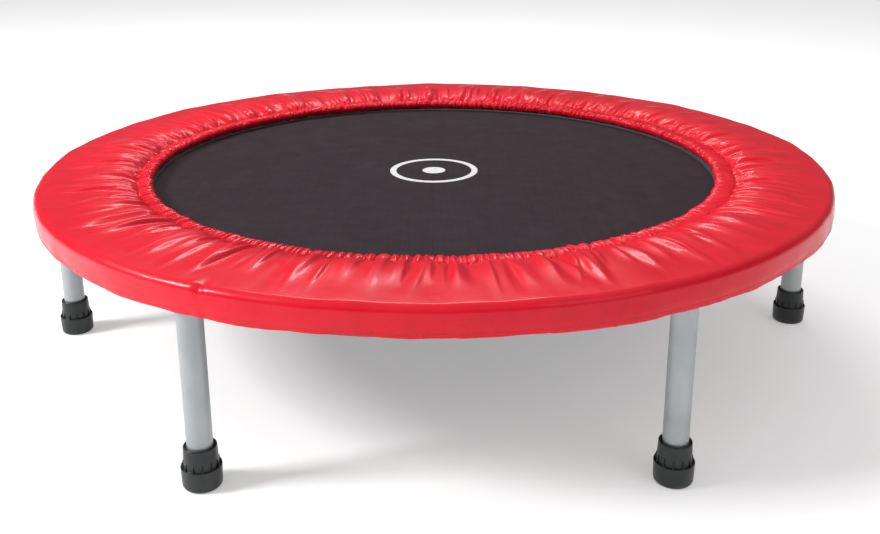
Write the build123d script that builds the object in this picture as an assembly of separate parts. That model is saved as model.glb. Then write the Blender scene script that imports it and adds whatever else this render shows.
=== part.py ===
from build123d import *
from math import atan, cos, pi, radians, sin, sqrt
import os

# Mini trampoline: a round steel tube ring on six screw-in legs, a woven jumping mat hung in it
# by radial extension springs, and a padded vinyl cover over the ring and springs.
# Frame: millimetres, +Z up, origin on the floor under the middle of the mat, front towards -Y.
# Every piece is a separate solid in its own STEP.

# ---------------------------------------------------------------- driving dimensions
R_OUT = 480.0  # outside of the cover: 96 cm across
Z_TOP = 215.0  # top of the cover: 22 cm class
N_SPRINGS = 36

# ring tube
R_RING = 462.0  # centre line of the ring
Z_RING = 196.5
TUBE_R = 12.5
WALL = 1.2

# legs, M8 x 1.25 stud on a welded plug
LEG_R = 12.5
LEG_WALL = 1.2
LEG_BASE_Z = 5.0
SADDLE_GAP = 0.3  # saddle to ring tube
LEG_TOP_Z = 181.0
PLUG_H = 8.0
STUD_R = 4.0
STUD_TOP_Z = 202.0
BUSH_R = 5.5
BUSH_BORE_R = 4.08
BUSH_TOP_Z = 201.0

# rubber foot
FOOT_H = 43.0
FOOT_BASE_R = 19.6
FOOT_BASE_LOW_R = 19.0
FOOT_STEP_Z = 22.0
COLLAR_LOW_R = 17.2
COLLAR_TOP_R = 15.9
GUSSETS = 12

# springs: 2 mm wire, 12 mm outside
WIRE_R = 1.0
COIL_R = 5.0  # mean
COIL_START = 391.0
COILS = 23
HOOK_LOOP_R = 2.9
HOLE_R = 2.2  # in the ring tube

# mat, hem, tabs and V-rings
MAT_R = 364.0
MAT_T = 0.8
HEM_IN = 348.0
HEM_OUT = 365.5
HEM_T = 3.2
TAB_W = 12.0
V_BASE_R = 368.0
V_APEX_R = 381.0
V_HALF = 13.0
V_WIRE_R = 1.5
V_FILLET = 3.0

# foam and cover
SKIN = 1.0
FOAM_IN = 379.0
FOAM_OUT = 473.0
FOAM_LOW = 209.2
BAND_R = 357.5  # gathered band round the opening, a flattened casing
BAND_Z = 205.9
BAND_HALF_W = 9.5
BAND_HALF_H = 5.0
INNER_ELASTIC_R = 2.3
INNER_ELASTIC_AT = 354.5
RIM_ROUND = 8.0
SKIRT_LOW = 184.0
HEM_BOX = 4.8
OUTER_ELASTIC_R = 1.3

# where each leg stands on the ring, in degrees from +X; the side legs stand a little forward
LEGS = {
    "right": 356.0,
    "rear_right": 60.0,
    "rear_left": 120.0,
    "left": 186.5,
    "front_left": 241.2,
    "front_right": 299.5,
}

os.makedirs("parts", exist_ok=True)
for old in os.listdir("parts"):
    if old.endswith(".step"):
        os.remove(os.path.join("parts", old))


def save(shape, name):
    solids = shape.solids()
    out = solids[0] if len(solids) == 1 else Compound(children=list(solids))
    export_step(out, "parts/" + name + ".step")
    print(name, len(solids), round(sum(s.volume for s in solids)))


def spin(face):
    """Full turn of an (r, z) face about the vertical axis."""
    return revolve(Plane.XZ * face, axis=Axis.Z, revolution_arc=360)


def around(shape, count, start):
    return [Rot(0, 0, start + i * 360.0 / count) * shape for i in range(count)]


# ---------------------------------------------------------------- ring tube, two half hoops butted and welded
START = 180.0 / N_SPRINGS  # springs sit between the legs
SPRING_STEP = 360.0 / N_SPRINGS
HOOP_START = 30.0  # butt joints between two legs
half_hoop = revolve(
    Plane.XZ * (Pos(R_RING, Z_RING) * (Circle(TUBE_R) - Circle(TUBE_R - WALL))),
    axis=Axis.Z,
    revolution_arc=180,
)
spring_hole = Pos(R_RING - TUBE_R, 0, Z_RING) * Rot(0, 90, 0) * Cylinder(HOLE_R, 8)
leg_hole = Pos(R_RING, 0, Z_RING - TUBE_R) * Cylinder(BUSH_R, 8)
spring_at = [START + i * SPRING_STEP for i in range(N_SPRINGS)]
for name, start in (("left", HOOP_START), ("right", HOOP_START + 180)):
    tools = [Rot(0, 0, a) * spring_hole for a in spring_at if (a - start) % 360 < 180]
    tools += [Rot(0, 0, a) * leg_hole for a in LEGS.values() if (a - start) % 360 < 180]
    save((Rot(0, 0, start) * half_hoop).cut(*tools), "frame_hoop_" + name)

# ---------------------------------------------------------------- threaded bushes in its underside
outer_torus = Pos(0, 0, Z_RING) * Torus(R_RING, TUBE_R)
bush_len = BUSH_TOP_Z - (Z_RING - TUBE_R - 2)
bush = Pos(R_RING, 0, BUSH_TOP_Z - bush_len / 2) * (
    Cylinder(BUSH_R, bush_len) - Cylinder(BUSH_BORE_R, bush_len + 2)
)
bush = bush & outer_torus
save(Compound(children=[s for a in LEGS.values() for s in (Rot(0, 0, a) * bush).solids()]), "leg_bushes")

# ---------------------------------------------------------------- legs
leg_h = LEG_TOP_Z - LEG_BASE_Z
leg_tube = Pos(R_RING, 0, LEG_BASE_Z + leg_h / 2) * (
    Cylinder(LEG_R, leg_h) - Cylinder(LEG_R - LEG_WALL, leg_h + 2)
)
stud_h = STUD_TOP_Z - LEG_TOP_Z
stud = Cylinder(STUD_R, stud_h + 1.0)
stud = chamfer(stud.edges().sort_by(Axis.Z)[-1], 0.8)
leg_stud = (
    Pos(R_RING, 0, LEG_TOP_Z - PLUG_H / 2) * Cylinder(LEG_R - LEG_WALL, PLUG_H)
    + Pos(R_RING, 0, LEG_TOP_Z + (stud_h - 1.0) / 2) * stud
)

saddle_low = LEG_TOP_Z + 0.05
saddle_high = 188.5
saddle_h = saddle_high - saddle_low
saddle = Pos(R_RING, 0, saddle_low + saddle_h / 2) * (
    Cylinder(LEG_R, saddle_h) - Cylinder(STUD_R + 0.3, saddle_h + 2)
)
saddle = saddle - Pos(0, 0, Z_RING) * Torus(R_RING, TUBE_R + SADDLE_GAP)

# rubber foot: a collar on a wider base, with small gussets standing on the step
foot_profile = make_face(
    Polyline(
        (0, 0),
        (FOOT_BASE_LOW_R - 2.2, 0),
        (FOOT_BASE_LOW_R - 0.6, 0.7),
        (FOOT_BASE_LOW_R, 2.4),
        (FOOT_BASE_R, FOOT_STEP_Z - 0.6),
        (FOOT_BASE_R - 0.6, FOOT_STEP_Z),
        (COLLAR_LOW_R, FOOT_STEP_Z),
        (COLLAR_TOP_R, FOOT_H - 0.5),
        (COLLAR_TOP_R - 0.5, FOOT_H),
        (LEG_R + 1.3, FOOT_H),
        (LEG_R, FOOT_H - 2.6),
        (LEG_R, LEG_BASE_Z),
        (0, LEG_BASE_Z),
        (0, 0),
    )
)
foot = spin(foot_profile)
gusset_face = make_face(
    Polyline(
        (COLLAR_TOP_R - 1.5, FOOT_STEP_Z - 1.0),
        (FOOT_BASE_R - 0.5, FOOT_STEP_Z - 1.0),
        (FOOT_BASE_R - 0.5, FOOT_STEP_Z + 0.3),
        (COLLAR_LOW_R - 0.2, FOOT_STEP_Z + 7.0),
        (COLLAR_TOP_R - 1.5, FOOT_STEP_Z + 7.0),
        (COLLAR_TOP_R - 1.5, FOOT_STEP_Z - 1.0),
    )
)
gusset = extrude(Plane.XZ * gusset_face, amount=0.75, both=True)
for g in around(gusset, GUSSETS, 15):
    foot = foot + g
foot = Pos(R_RING, 0, 0) * foot

for name, angle in LEGS.items():
    turn = Rot(0, 0, angle)
    save(turn * leg_tube, "leg_tube_" + name)
    save(turn * leg_stud, "leg_stud_" + name)
    save(turn * foot, "foot_" + name)
    save(turn * saddle, "saddle_" + name)

# ---------------------------------------------------------------- mat, hem, tabs, V-rings
mat = Pos(0, 0, Z_RING) * Cylinder(MAT_R, MAT_T)
save(mat, "jumping_mat")

hem_w = HEM_OUT - HEM_IN
hem = spin(
    Pos(HEM_IN + hem_w / 2, Z_RING) * Rectangle(hem_w, HEM_T)
    - Pos((HEM_IN - 5 + MAT_R) / 2, Z_RING) * Rectangle(MAT_R - HEM_IN + 5, MAT_T)
)
save(hem, "mat_hem")

tab_in, tab_o, tab_i = 354.0, 3.0, 1.75
tab_len = V_BASE_R - tab_in
tab_face = (
    Pos(tab_in + tab_len / 2, Z_RING) * Rectangle(tab_len, 2 * tab_o)
    + Pos(V_BASE_R, Z_RING) * Circle(tab_o)
    - Pos(tab_in + tab_len / 2 - 1, Z_RING) * Rectangle(tab_len + 2, 2 * tab_i)
    - Pos(V_BASE_R, Z_RING) * Circle(tab_i)
)
tab = extrude(Plane.XZ * tab_face, amount=TAB_W / 2, both=True)
save(Compound(children=[s for t in around(tab, N_SPRINGS, START) for s in t.solids()]), "ring_tabs")

# the V-ring's corner beyond its rounded apex, so that the wire's centre line reaches V_APEX_R
tip = V_APEX_R + V_FILLET
for _ in range(60):
    half = atan(V_HALF / (tip - V_BASE_R))
    tip = V_APEX_R + V_FILLET * (1 / sin(half) - 1)
v_face = make_face(Polyline((V_BASE_R, V_HALF), (tip, 0), (V_BASE_R, -V_HALF), close=True))
v_path = fillet(v_face.vertices(), V_FILLET).faces()[0].outer_wire()
v_ring = sweep(Plane(origin=v_path @ 0, z_dir=v_path % 0) * Circle(V_WIRE_R), path=v_path)
v_ring = Pos(0, 0, Z_RING) * v_ring
save(Compound(children=[s for v in around(v_ring, N_SPRINGS, START) for s in v.solids()]), "v_rings")

# ---------------------------------------------------------------- springs
coil_end = COIL_START + 2 * WIRE_R * (COILS - 1)
coil_face = Pos((COIL_START + coil_end) / 2, COIL_R) * Rectangle(coil_end - COIL_START, 1.0)
for k in range(COILS):
    coil_face = coil_face + Pos(COIL_START + 2 * WIRE_R * k, COIL_R) * Circle(WIRE_R)
coil = revolve(Plane.XZ * coil_face, axis=Axis.X, revolution_arc=360)

loop = Pos(V_APEX_R, 0, 0) * Rot(90, 0, 0) * Torus(HOOK_LOOP_R, WIRE_R)
x_a = V_APEX_R + HOOK_LOOP_R
x_b = COIL_START - COIL_R
inner_path = Line((x_a, 0, 0), (x_b, 0, 0)) + ThreePointArc(
    (x_b, 0, 0),
    (x_b + COIL_R * sin(pi / 4), 0, COIL_R - COIL_R * cos(pi / 4)),
    (x_b + COIL_R, 0, COIL_R),
)
inner_arm = sweep(Plane(origin=inner_path @ 0, z_dir=inner_path % 0) * Circle(WIRE_R), path=inner_path)

x_c = coil_end + COIL_R
x_d = R_RING - TUBE_R + 2.6
bend = 2.4
outer_path = (
    ThreePointArc(
        (coil_end, 0, COIL_R),
        (x_c - COIL_R * sin(pi / 4), 0, COIL_R - COIL_R * cos(pi / 4)),
        (x_c, 0, 0),
    )
    + Line((x_c, 0, 0), (x_d, 0, 0))
    + ThreePointArc(
        (x_d, 0, 0),
        (x_d + bend * sin(pi / 4), 0, bend - bend * cos(pi / 4)),
        (x_d + bend, 0, bend),
    )
    + Line((x_d + bend, 0, bend), (x_d + bend, 0, bend + 2.2))
)
outer_arm = sweep(Plane(origin=outer_path @ 0, z_dir=outer_path % 0) * Circle(WIRE_R), path=outer_path)
spring = coil + inner_arm + outer_arm + loop
spring = Pos(0, 0, Z_RING) * spring
save(Compound(children=[s for q in around(spring, N_SPRINGS, START) for s in q.solids()]), "springs")

# ---------------------------------------------------------------- foam ring
foam_h = Z_TOP - SKIN - 0.2 - FOAM_LOW
foam_face = Pos((FOAM_IN + FOAM_OUT) / 2, FOAM_LOW + foam_h / 2) * RectangleRounded(
    FOAM_OUT - FOAM_IN, foam_h, 2.0
)
save(spin(foam_face), "foam_ring")

# ---------------------------------------------------------------- cover
# one strip of vinyl, modelled as the flat panel with its rim, the skirt below it and the band's casing
rim_c = R_OUT - RIM_ROUND
seam_r = BAND_R + BAND_HALF_W
panel_face = make_face(
    Polyline(
        (seam_r, BAND_Z + 0.6),
        (seam_r + 2.5, BAND_Z + 3.5),
        (seam_r + 7.5, Z_TOP - 1.2),
        (seam_r + 10.5, Z_TOP),
        (rim_c, Z_TOP),
    )
    + RadiusArc((rim_c, Z_TOP), (R_OUT, Z_TOP - RIM_ROUND), RIM_ROUND)
    + Line((R_OUT, Z_TOP - RIM_ROUND), (R_OUT - SKIN, Z_TOP - RIM_ROUND))
    + RadiusArc((R_OUT - SKIN, Z_TOP - RIM_ROUND), (rim_c, Z_TOP - SKIN), -(RIM_ROUND - SKIN))
    + Polyline(
        (rim_c, Z_TOP - SKIN),
        (seam_r + 10.9, Z_TOP - SKIN),
        (seam_r + 8.1, Z_TOP - SKIN - 1.1),
        (seam_r + 3.2, BAND_Z + 2.8),
        (seam_r, BAND_Z - 0.6),
        (seam_r, BAND_Z + 0.6),
    )
)
save(spin(panel_face), "cover_panel")

skirt_face = make_face(
    Polyline(
        (R_OUT, Z_TOP - RIM_ROUND),
        (R_OUT, SKIRT_LOW),
        (R_OUT - HEM_BOX, SKIRT_LOW),
        (R_OUT - HEM_BOX, SKIRT_LOW + HEM_BOX),
        (R_OUT - SKIN, SKIRT_LOW + HEM_BOX),
        (R_OUT - SKIN, Z_TOP - RIM_ROUND),
        (R_OUT, Z_TOP - RIM_ROUND),
    )
)
cord_hole = Pos(R_OUT - HEM_BOX / 2, SKIRT_LOW + HEM_BOX / 2) * Circle(OUTER_ELASTIC_R + 0.1)
save(spin(skirt_face - cord_hole), "cover_skirt")

band_face = Pos(BAND_R, BAND_Z) * (
    Ellipse(BAND_HALF_W, BAND_HALF_H) - Ellipse(BAND_HALF_W - SKIN, BAND_HALF_H - SKIN)
)
save(spin(band_face), "cover_band")

save(Pos(0, 0, BAND_Z) * Torus(INNER_ELASTIC_AT, INNER_ELASTIC_R), "inner_elastic")
save(
    Pos(0, 0, SKIRT_LOW + HEM_BOX / 2) * Torus(R_OUT - HEM_BOX / 2, OUTER_ELASTIC_R),
    "outer_elastic",
)
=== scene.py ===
import bpy
import math
import numpy as np
from mathutils import Matrix, Vector


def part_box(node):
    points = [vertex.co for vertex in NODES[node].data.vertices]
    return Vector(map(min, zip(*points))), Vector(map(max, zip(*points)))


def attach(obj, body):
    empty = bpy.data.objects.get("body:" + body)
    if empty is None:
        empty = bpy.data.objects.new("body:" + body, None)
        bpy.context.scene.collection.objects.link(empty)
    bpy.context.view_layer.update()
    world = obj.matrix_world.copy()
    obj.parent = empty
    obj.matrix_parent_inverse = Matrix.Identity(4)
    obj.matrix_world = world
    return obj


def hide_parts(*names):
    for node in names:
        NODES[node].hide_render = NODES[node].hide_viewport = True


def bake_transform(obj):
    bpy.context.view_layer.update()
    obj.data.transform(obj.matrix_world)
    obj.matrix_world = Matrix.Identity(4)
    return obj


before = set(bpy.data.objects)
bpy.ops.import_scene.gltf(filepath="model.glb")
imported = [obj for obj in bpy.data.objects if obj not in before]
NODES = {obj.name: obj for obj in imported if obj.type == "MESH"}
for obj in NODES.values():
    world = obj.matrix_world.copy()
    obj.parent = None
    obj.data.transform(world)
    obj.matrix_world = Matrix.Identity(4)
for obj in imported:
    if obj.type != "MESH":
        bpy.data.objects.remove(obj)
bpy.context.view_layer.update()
rng = np.random.default_rng(20731)
TAU = 2 * math.pi

# ------------------------------------------------------------------ where the CAD says things are
PANEL, SKIRT, BAND, ELASTIC_IN = "cover_panel", "cover_skirt", "cover_band", "inner_elastic"
panel_lo, panel_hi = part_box(PANEL)
skirt_lo, skirt_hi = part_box(SKIRT)
foam_lo, foam_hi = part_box("foam_ring")
mat_lo, mat_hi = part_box("jumping_mat")
hem_lo, hem_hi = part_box("mat_hem")
elastic_lo, elastic_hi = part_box(ELASTIC_IN)
R_OUT, Z_TOP, SKIRT_LOW = panel_hi.x, panel_hi.z, skirt_lo.z
Z_MAT = (mat_lo.z + mat_hi.z) / 2
R_MAT = mat_hi.x
BAND_Z = (elastic_lo.z + elastic_hi.z) / 2
BAND_R = elastic_hi.x + 0.0007
N_SPRINGS = 36
LEGS = ["right", "rear_right", "rear_left", "left", "front_left", "front_right"]


def leg_axis(name):
    lo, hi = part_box("leg_tube_" + name)
    return (lo.x + hi.x) / 2, (lo.y + hi.y) / 2


# ------------------------------------------------------------------ small tools
def make(name, verts, faces, smooth=True):
    me = bpy.data.meshes.new(name)
    verts = np.asarray(verts, np.float32).reshape(-1, 3)
    me.vertices.add(len(verts))
    me.vertices.foreach_set("co", verts.ravel())
    if isinstance(faces, np.ndarray):
        n, k = faces.shape
        me.loops.add(n * k)
        me.loops.foreach_set("vertex_index", faces.astype(np.int32).ravel())
        me.polygons.add(n)
        me.polygons.foreach_set("loop_start", np.arange(0, n * k, k, dtype=np.int32))
        me.polygons.foreach_set("loop_total", np.full(n, k, np.int32))
    else:
        sizes = np.array([len(f) for f in faces], np.int32)
        me.loops.add(int(sizes.sum()))
        me.loops.foreach_set("vertex_index", np.concatenate([np.asarray(f, np.int32) for f in faces]))
        me.polygons.add(len(sizes))
        me.polygons.foreach_set("loop_start", np.concatenate([[0], np.cumsum(sizes)[:-1]]).astype(np.int32))
        me.polygons.foreach_set("loop_total", sizes)
    me.polygons.foreach_set("use_smooth", np.full(len(me.polygons), smooth))
    me.update(calc_edges=True)
    me.validate()
    ob = bpy.data.objects.new(name, me)
    bpy.context.scene.collection.objects.link(ob)
    return ob


def grid_faces(n, m, wrap_n=True, wrap_m=False, flip=False, offset=0):
    """Quads of an n by m grid of points, row by row: index = i * m + j."""
    i = np.arange(n if wrap_n else n - 1)
    j = np.arange(m if wrap_m else m - 1)
    a, b = np.meshgrid(i, j, indexing="ij")
    a2, b2 = (a + 1) % n, (b + 1) % m
    q = np.stack([a * m + b, a2 * m + b, a2 * m + b2, a * m + b2], -1).reshape(-1, 4)
    if flip:
        q = q[:, ::-1]
    return q + offset


def joined(name, items, smooth=True):
    """One mesh from (verts, quads) items."""
    vs, fs, at = [], [], 0
    for v, f in items:
        v = np.asarray(v).reshape(-1, 3)
        vs.append(v)
        fs.append(np.asarray(f) + at)
        at += len(v)
    return make(name, np.concatenate(vs), np.concatenate(fs), smooth)


def settle(ob):
    """Applies every modifier of ob."""
    dg = bpy.context.evaluated_depsgraph_get()
    me = bpy.data.meshes.new_from_object(ob.evaluated_get(dg), depsgraph=dg)
    old = ob.data
    ob.modifiers.clear()
    ob.data = me
    bpy.data.meshes.remove(old)
    return ob


def smooth01(a, b, x):
    t = np.clip((x - a) / (b - a), 0, 1)
    return t * t * (3 - 2 * t)


def catmull(points, n):
    """n points spaced evenly along a smooth line through points (any dimension)."""
    p = np.asarray(points, float)
    e = np.vstack([2 * p[0] - p[1], p, 2 * p[-1] - p[-2]])
    out = []
    for k in range(1, len(e) - 2):
        a, b, c, d = e[k - 1], e[k], e[k + 1], e[k + 2]
        u = np.linspace(0, 1, 24, endpoint=False)[:, None]
        out.append(0.5 * (2 * b + (c - a) * u + (2 * a - 5 * b + 4 * c - d) * u**2 + (3 * b - a - 3 * c + d) * u**3))
    out = np.vstack(out + [p[-1:]])
    s = np.concatenate([[0], np.cumsum(np.linalg.norm(np.diff(out, axis=0), axis=1))])
    want = np.linspace(0, s[-1], n)
    return np.stack([np.interp(want, s, out[:, k]) for k in range(out.shape[1])], 1), want


def tube(path, radius, sides=8, caps=True):
    """(verts, quads) of a wire along a path of points."""
    p = np.asarray(path, float)
    n = len(p)
    t = np.gradient(p, axis=0)
    t /= np.linalg.norm(t, axis=1)[:, None]
    ref = np.array([0, 0, 1.0]) if abs(t[0][2]) < 0.9 else np.array([0, 1.0, 0])
    u = np.cross(t[0], ref)
    u /= np.linalg.norm(u)
    us = [u]
    for k in range(1, n):
        u = us[-1] - t[k] * (us[-1] @ t[k])
        us.append(u / np.linalg.norm(u))
    us = np.array(us)
    vs = np.cross(t, us)
    a = np.arange(sides) / sides * TAU
    rad = np.full(n, radius) if np.isscalar(radius) else np.asarray(radius)
    if caps:  # rounded ends: two short rings and a small closing ring at each end
        p = np.vstack([p[0] - t[0] * radius * 0.7, p[0] - t[0] * radius * 0.45, p, p[-1] + t[-1] * radius * 0.45, p[-1] + t[-1] * radius * 0.7])
        us = np.vstack([us[:1], us[:1], us, us[-1:], us[-1:]])
        vs = np.vstack([vs[:1], vs[:1], vs, vs[-1:], vs[-1:]])
        rad = np.concatenate([[radius * 0.25, radius * 0.75], rad, [radius * 0.75, radius * 0.25]])
        n = len(p)
    ring = us[:, None, :] * np.cos(a)[None, :, None] + vs[:, None, :] * np.sin(a)[None, :, None]
    v = p[:, None, :] + ring * rad[:, None, None]
    f = grid_faces(n, sides, wrap_n=False, wrap_m=True, flip=True)
    if caps:
        v = np.concatenate([v.reshape(-1, 3), p[:1], p[-1:]])
        s, e = n * sides, n * sides + 1
        k = np.arange(sides)
        # closing fans written as quads over pairs of sides
        k = np.arange(0, sides, 2)
        c0 = np.stack([k, (k + 1) % sides, (k + 2) % sides, np.full(len(k), s)], 1)
        c1 = np.stack([(n - 1) * sides + (k + 2) % sides, (n - 1) * sides + (k + 1) % sides, (n - 1) * sides + k, np.full(len(k), e)], 1)
        f = np.concatenate([f, c0, c1])
    return v.reshape(-1, 3), f


def turned(v, angle):
    c, s = math.cos(angle), math.sin(angle)
    return np.asarray(v) @ np.array([[c, s, 0], [-s, c, 0], [0, 0, 1.0]])


def around_z(profile, n):
    """(verts, quads) of a closed (r, z) profile turned about Z. The profile runs counter-clockwise seen with r right and z up."""
    pr = np.asarray(profile, float)
    a = np.arange(n) / n * TAU
    v = np.stack([np.cos(a)[:, None] * pr[None, :, 0], np.sin(a)[:, None] * pr[None, :, 0], np.broadcast_to(pr[None, :, 1], (n, len(pr)))], -1)
    return v.reshape(-1, 3), grid_faces(n, len(pr), True, True)


# ------------------------------------------------------------------ materials
class Mat:
    def __init__(self, name):
        self.m = bpy.data.materials.new(name)
        self.m.use_nodes = True
        self.t = self.m.node_tree
        self.b = self.t.nodes["Principled BSDF"]
        self.co = self.t.nodes.new("ShaderNodeTexCoord").outputs["Object"]

    def node(self, kind, **values):
        n = self.t.nodes.new("ShaderNode" + kind)
        for k, v in values.items():
            if hasattr(n, k) and k not in n.inputs:
                setattr(n, k, v)
            else:
                n.inputs[k.replace("_", " ") if k.replace("_", " ") in n.inputs else k].default_value = v
        return n

    def link(self, a, b):
        self.t.links.new(a, b)

    def set(self, **values):
        for k, v in values.items():
            self.b.inputs[k.replace("_", " ")].default_value = v

    def noise(self, scale, detail=4.0, rough=0.55, vec=None):
        n = self.node("TexNoise", Scale=scale, Detail=detail, Roughness=rough)
        self.link(vec or self.co, n.inputs["Vector"])
        return n.outputs["Fac"]

    def ramp(self, fac, stops):
        n = self.t.nodes.new("ShaderNodeValToRGB")
        el = n.color_ramp.elements
        while len(el) < len(stops):
            el.new(0.5)
        for e, (p, c) in zip(el, stops):
            e.position = p
            e.color = (*c, 1) if len(c) == 3 else c
        self.link(fac, n.inputs["Fac"])
        return n.outputs["Color"]

    def mapr(self, fac, a, b, c, d):
        n = self.t.nodes.new("ShaderNodeMapRange")
        n.inputs["From Min"].default_value, n.inputs["From Max"].default_value = a, b
        n.inputs["To Min"].default_value, n.inputs["To Max"].default_value = c, d
        self.link(fac, n.inputs["Value"])
        return n.outputs["Result"]

    def math(self, op, a, b=None, c=None):
        n = self.t.nodes.new("ShaderNodeMath")
        n.operation = op
        for k, x in enumerate((a, b, c)):
            if x is None:
                continue
            if isinstance(x, (int, float)):
                n.inputs[k].default_value = x
            else:
                self.link(x, n.inputs[k])
        return n.outputs[0]

    def mix(self, fac, a, b, mode="MIX"):
        n = self.t.nodes.new("ShaderNodeMix")
        n.data_type = "RGBA"
        n.blend_type = mode
        for s, x in ((n.inputs[0], fac), (n.inputs[6], a), (n.inputs[7], b)):
            if isinstance(x, (int, float)):
                s.default_value = x
            elif isinstance(x, tuple):
                s.default_value = (*x, 1)
            else:
                self.link(x, s)
        return n.outputs[2]

    def bump(self, height, strength, distance, normal=None):
        n = self.t.nodes.new("ShaderNodeBump")
        n.inputs["Strength"].default_value = strength
        n.inputs["Distance"].default_value = distance
        self.link(height, n.inputs["Height"])
        if normal is not None:
            self.link(normal, n.inputs["Normal"])
        return n.outputs["Normal"]

    def radius(self):
        """Distance from the vertical axis through the middle of the mat."""
        s = self.t.nodes.new("ShaderNodeSeparateXYZ")
        self.link(self.co, s.inputs[0])
        x2 = self.math("MULTIPLY", s.outputs[0], s.outputs[0])
        y2 = self.math("MULTIPLY", s.outputs[1], s.outputs[1])
        return self.math("SQRT", self.math("ADD", x2, y2)), s.outputs


def weave(m, pitch, depth=1.0):
    """Height of a plain weave of that pitch in metres, in the object's X and Y."""
    s = m.t.nodes.new("ShaderNodeSeparateXYZ")
    m.link(m.co, s.inputs[0])
    k = TAU / (2 * pitch)
    sx = m.math("SINE", m.math("MULTIPLY", s.outputs[0], k))
    sy = m.math("SINE", m.math("MULTIPLY", s.outputs[1], k))
    cx = m.math("ABSOLUTE", m.math("COSINE", m.math("MULTIPLY", s.outputs[0], k)))
    cy = m.math("ABSOLUTE", m.math("COSINE", m.math("MULTIPLY", s.outputs[1], k)))
    over = m.math("MULTIPLY", sx, sy)
    h = m.math("MULTIPLY_ADD", over, 0.5, m.math("MULTIPLY", m.math("ADD", cx, cy), 0.5))
    return m.math("MULTIPLY", h, depth)


def vinyl():
    m = Mat("vinyl_red")
    r, xyz = m.radius()
    broad = m.noise(6.0, 3.0)
    fine = m.noise(70.0, 5.0)
    base = m.ramp(broad, [(0.30, (0.735, 0.0040, 0.0185)), (0.52, (0.780, 0.0052, 0.0240)), (0.72, (0.810, 0.0072, 0.0285))])
    speck = m.ramp(fine, [(0.35, (0.93, 0.90, 0.90)), (0.65, (1.0, 1.0, 1.0))])
    base = m.mix(1.0, base, speck, "MULTIPLY")
    # rubbed rim: a little paler and duller where hands and shoes touch
    rim = m.math("MULTIPLY", m.mapr(r, 0.455, 0.474, 0.0, 1.0), m.mapr(m.noise(9.0, 2.0, 0.4), 0.45, 0.75, 0.0, 1.0))
    base = m.mix(m.math("MULTIPLY", rim, 0.05), base, (0.84, 0.10, 0.12))
    m.link(base, m.b.inputs["Base Color"])
    rough = m.math("ADD", m.mapr(m.noise(30.0, 4.0), 0.3, 0.7, 0.27, 0.37), m.math("MULTIPLY", rim, 0.05))
    m.link(rough, m.b.inputs["Roughness"])
    grain = m.node("TexVoronoi", Scale=1050.0)
    m.link(m.co, grain.inputs["Vector"])
    n1 = m.bump(grain.outputs["Distance"], 0.12, 0.00010)
    n2 = m.bump(m.noise(240.0, 5.0, 0.6), 0.12, 0.0004, n1)
    m.link(n2, m.b.inputs["Normal"])
    m.set(Specular_IOR_Level=0.18, Coat_Weight=0.19, Coat_Roughness=0.08, Sheen_Weight=0.02, Sheen_Roughness=0.4)
    m.b.inputs["Sheen Tint"].default_value = (1.0, 0.72, 0.74, 1)
    return m.m


def backing():
    m = Mat("vinyl_backing")
    w = weave(m, 0.0011)
    base = m.mix(m.mapr(w, 0.0, 1.2, 0.0, 1.0), (0.36, 0.030, 0.036), (0.58, 0.085, 0.09))
    base = m.mix(m.mapr(m.noise(14.0, 4.0), 0.35, 0.65, 0.0, 0.35), base, (0.42, 0.05, 0.055))
    m.link(base, m.b.inputs["Base Color"])
    m.link(m.bump(w, 0.5, 0.0003), m.b.inputs["Normal"])
    m.set(Roughness=0.82, Sheen_Weight=0.25)
    return m.m


def mat_cloth():
    m = Mat("mat_weave")
    r, xyz = m.radius()
    w = weave(m, 0.0013)
    streak_vec = m.node("Mapping")
    m.link(m.co, streak_vec.inputs["Vector"])
    streak_vec.inputs["Scale"].default_value = (420.0, 7.0, 1.0)
    streak = m.noise(1.0, 3.0, 0.5, streak_vec.outputs["Vector"])
    base = m.mix(m.mapr(w, 0.0, 1.3, 0.0, 1.0), (0.0115, 0.0055, 0.0082), (0.028, 0.0155, 0.0215))
    base = m.mix(m.mapr(streak, 0.35, 0.7, 0.0, 0.5), base, (0.031, 0.0175, 0.0235))
    dust = m.mapr(m.noise(9.0, 6.0, 0.65), 0.50, 0.78, 0.0, 0.16)
    base = m.mix(dust, base, (0.056, 0.039, 0.047))
    # printed centre mark: a plain ring with a dot
    ring = m.math("ABSOLUTE", m.math("SUBTRACT", r, 0.052))
    ring = m.mapr(ring, 0.0042, 0.0036, 0.0, 1.0)
    dot = m.mapr(r, 0.0150, 0.0142, 0.0, 1.0)
    mark = m.math("MAXIMUM", ring, dot)
    worn = m.mapr(m.noise(330.0, 4.0, 0.7), 0.30, 0.46, 0.62, 1.0)
    mark = m.math("MULTIPLY", mark, worn)
    # printed on the top face only; there the sheet sags 1.2 mm and is 0.8 mm thick
    mark = m.math("MULTIPLY", mark, m.math("GREATER_THAN", xyz[2], Z_MAT - 0.0012))
    base = m.mix(mark, base, (0.80, 0.79, 0.79))
    m.link(base, m.b.inputs["Base Color"])
    m.link(m.bump(w, 0.55, 0.00035), m.b.inputs["Normal"])
    m.link(m.mapr(m.noise(40.0, 3.0), 0.3, 0.7, 0.60, 0.74), m.b.inputs["Roughness"])
    m.set(Specular_IOR_Level=0.13, Sheen_Weight=0.02, Sheen_Roughness=0.5)
    return m.m


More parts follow.
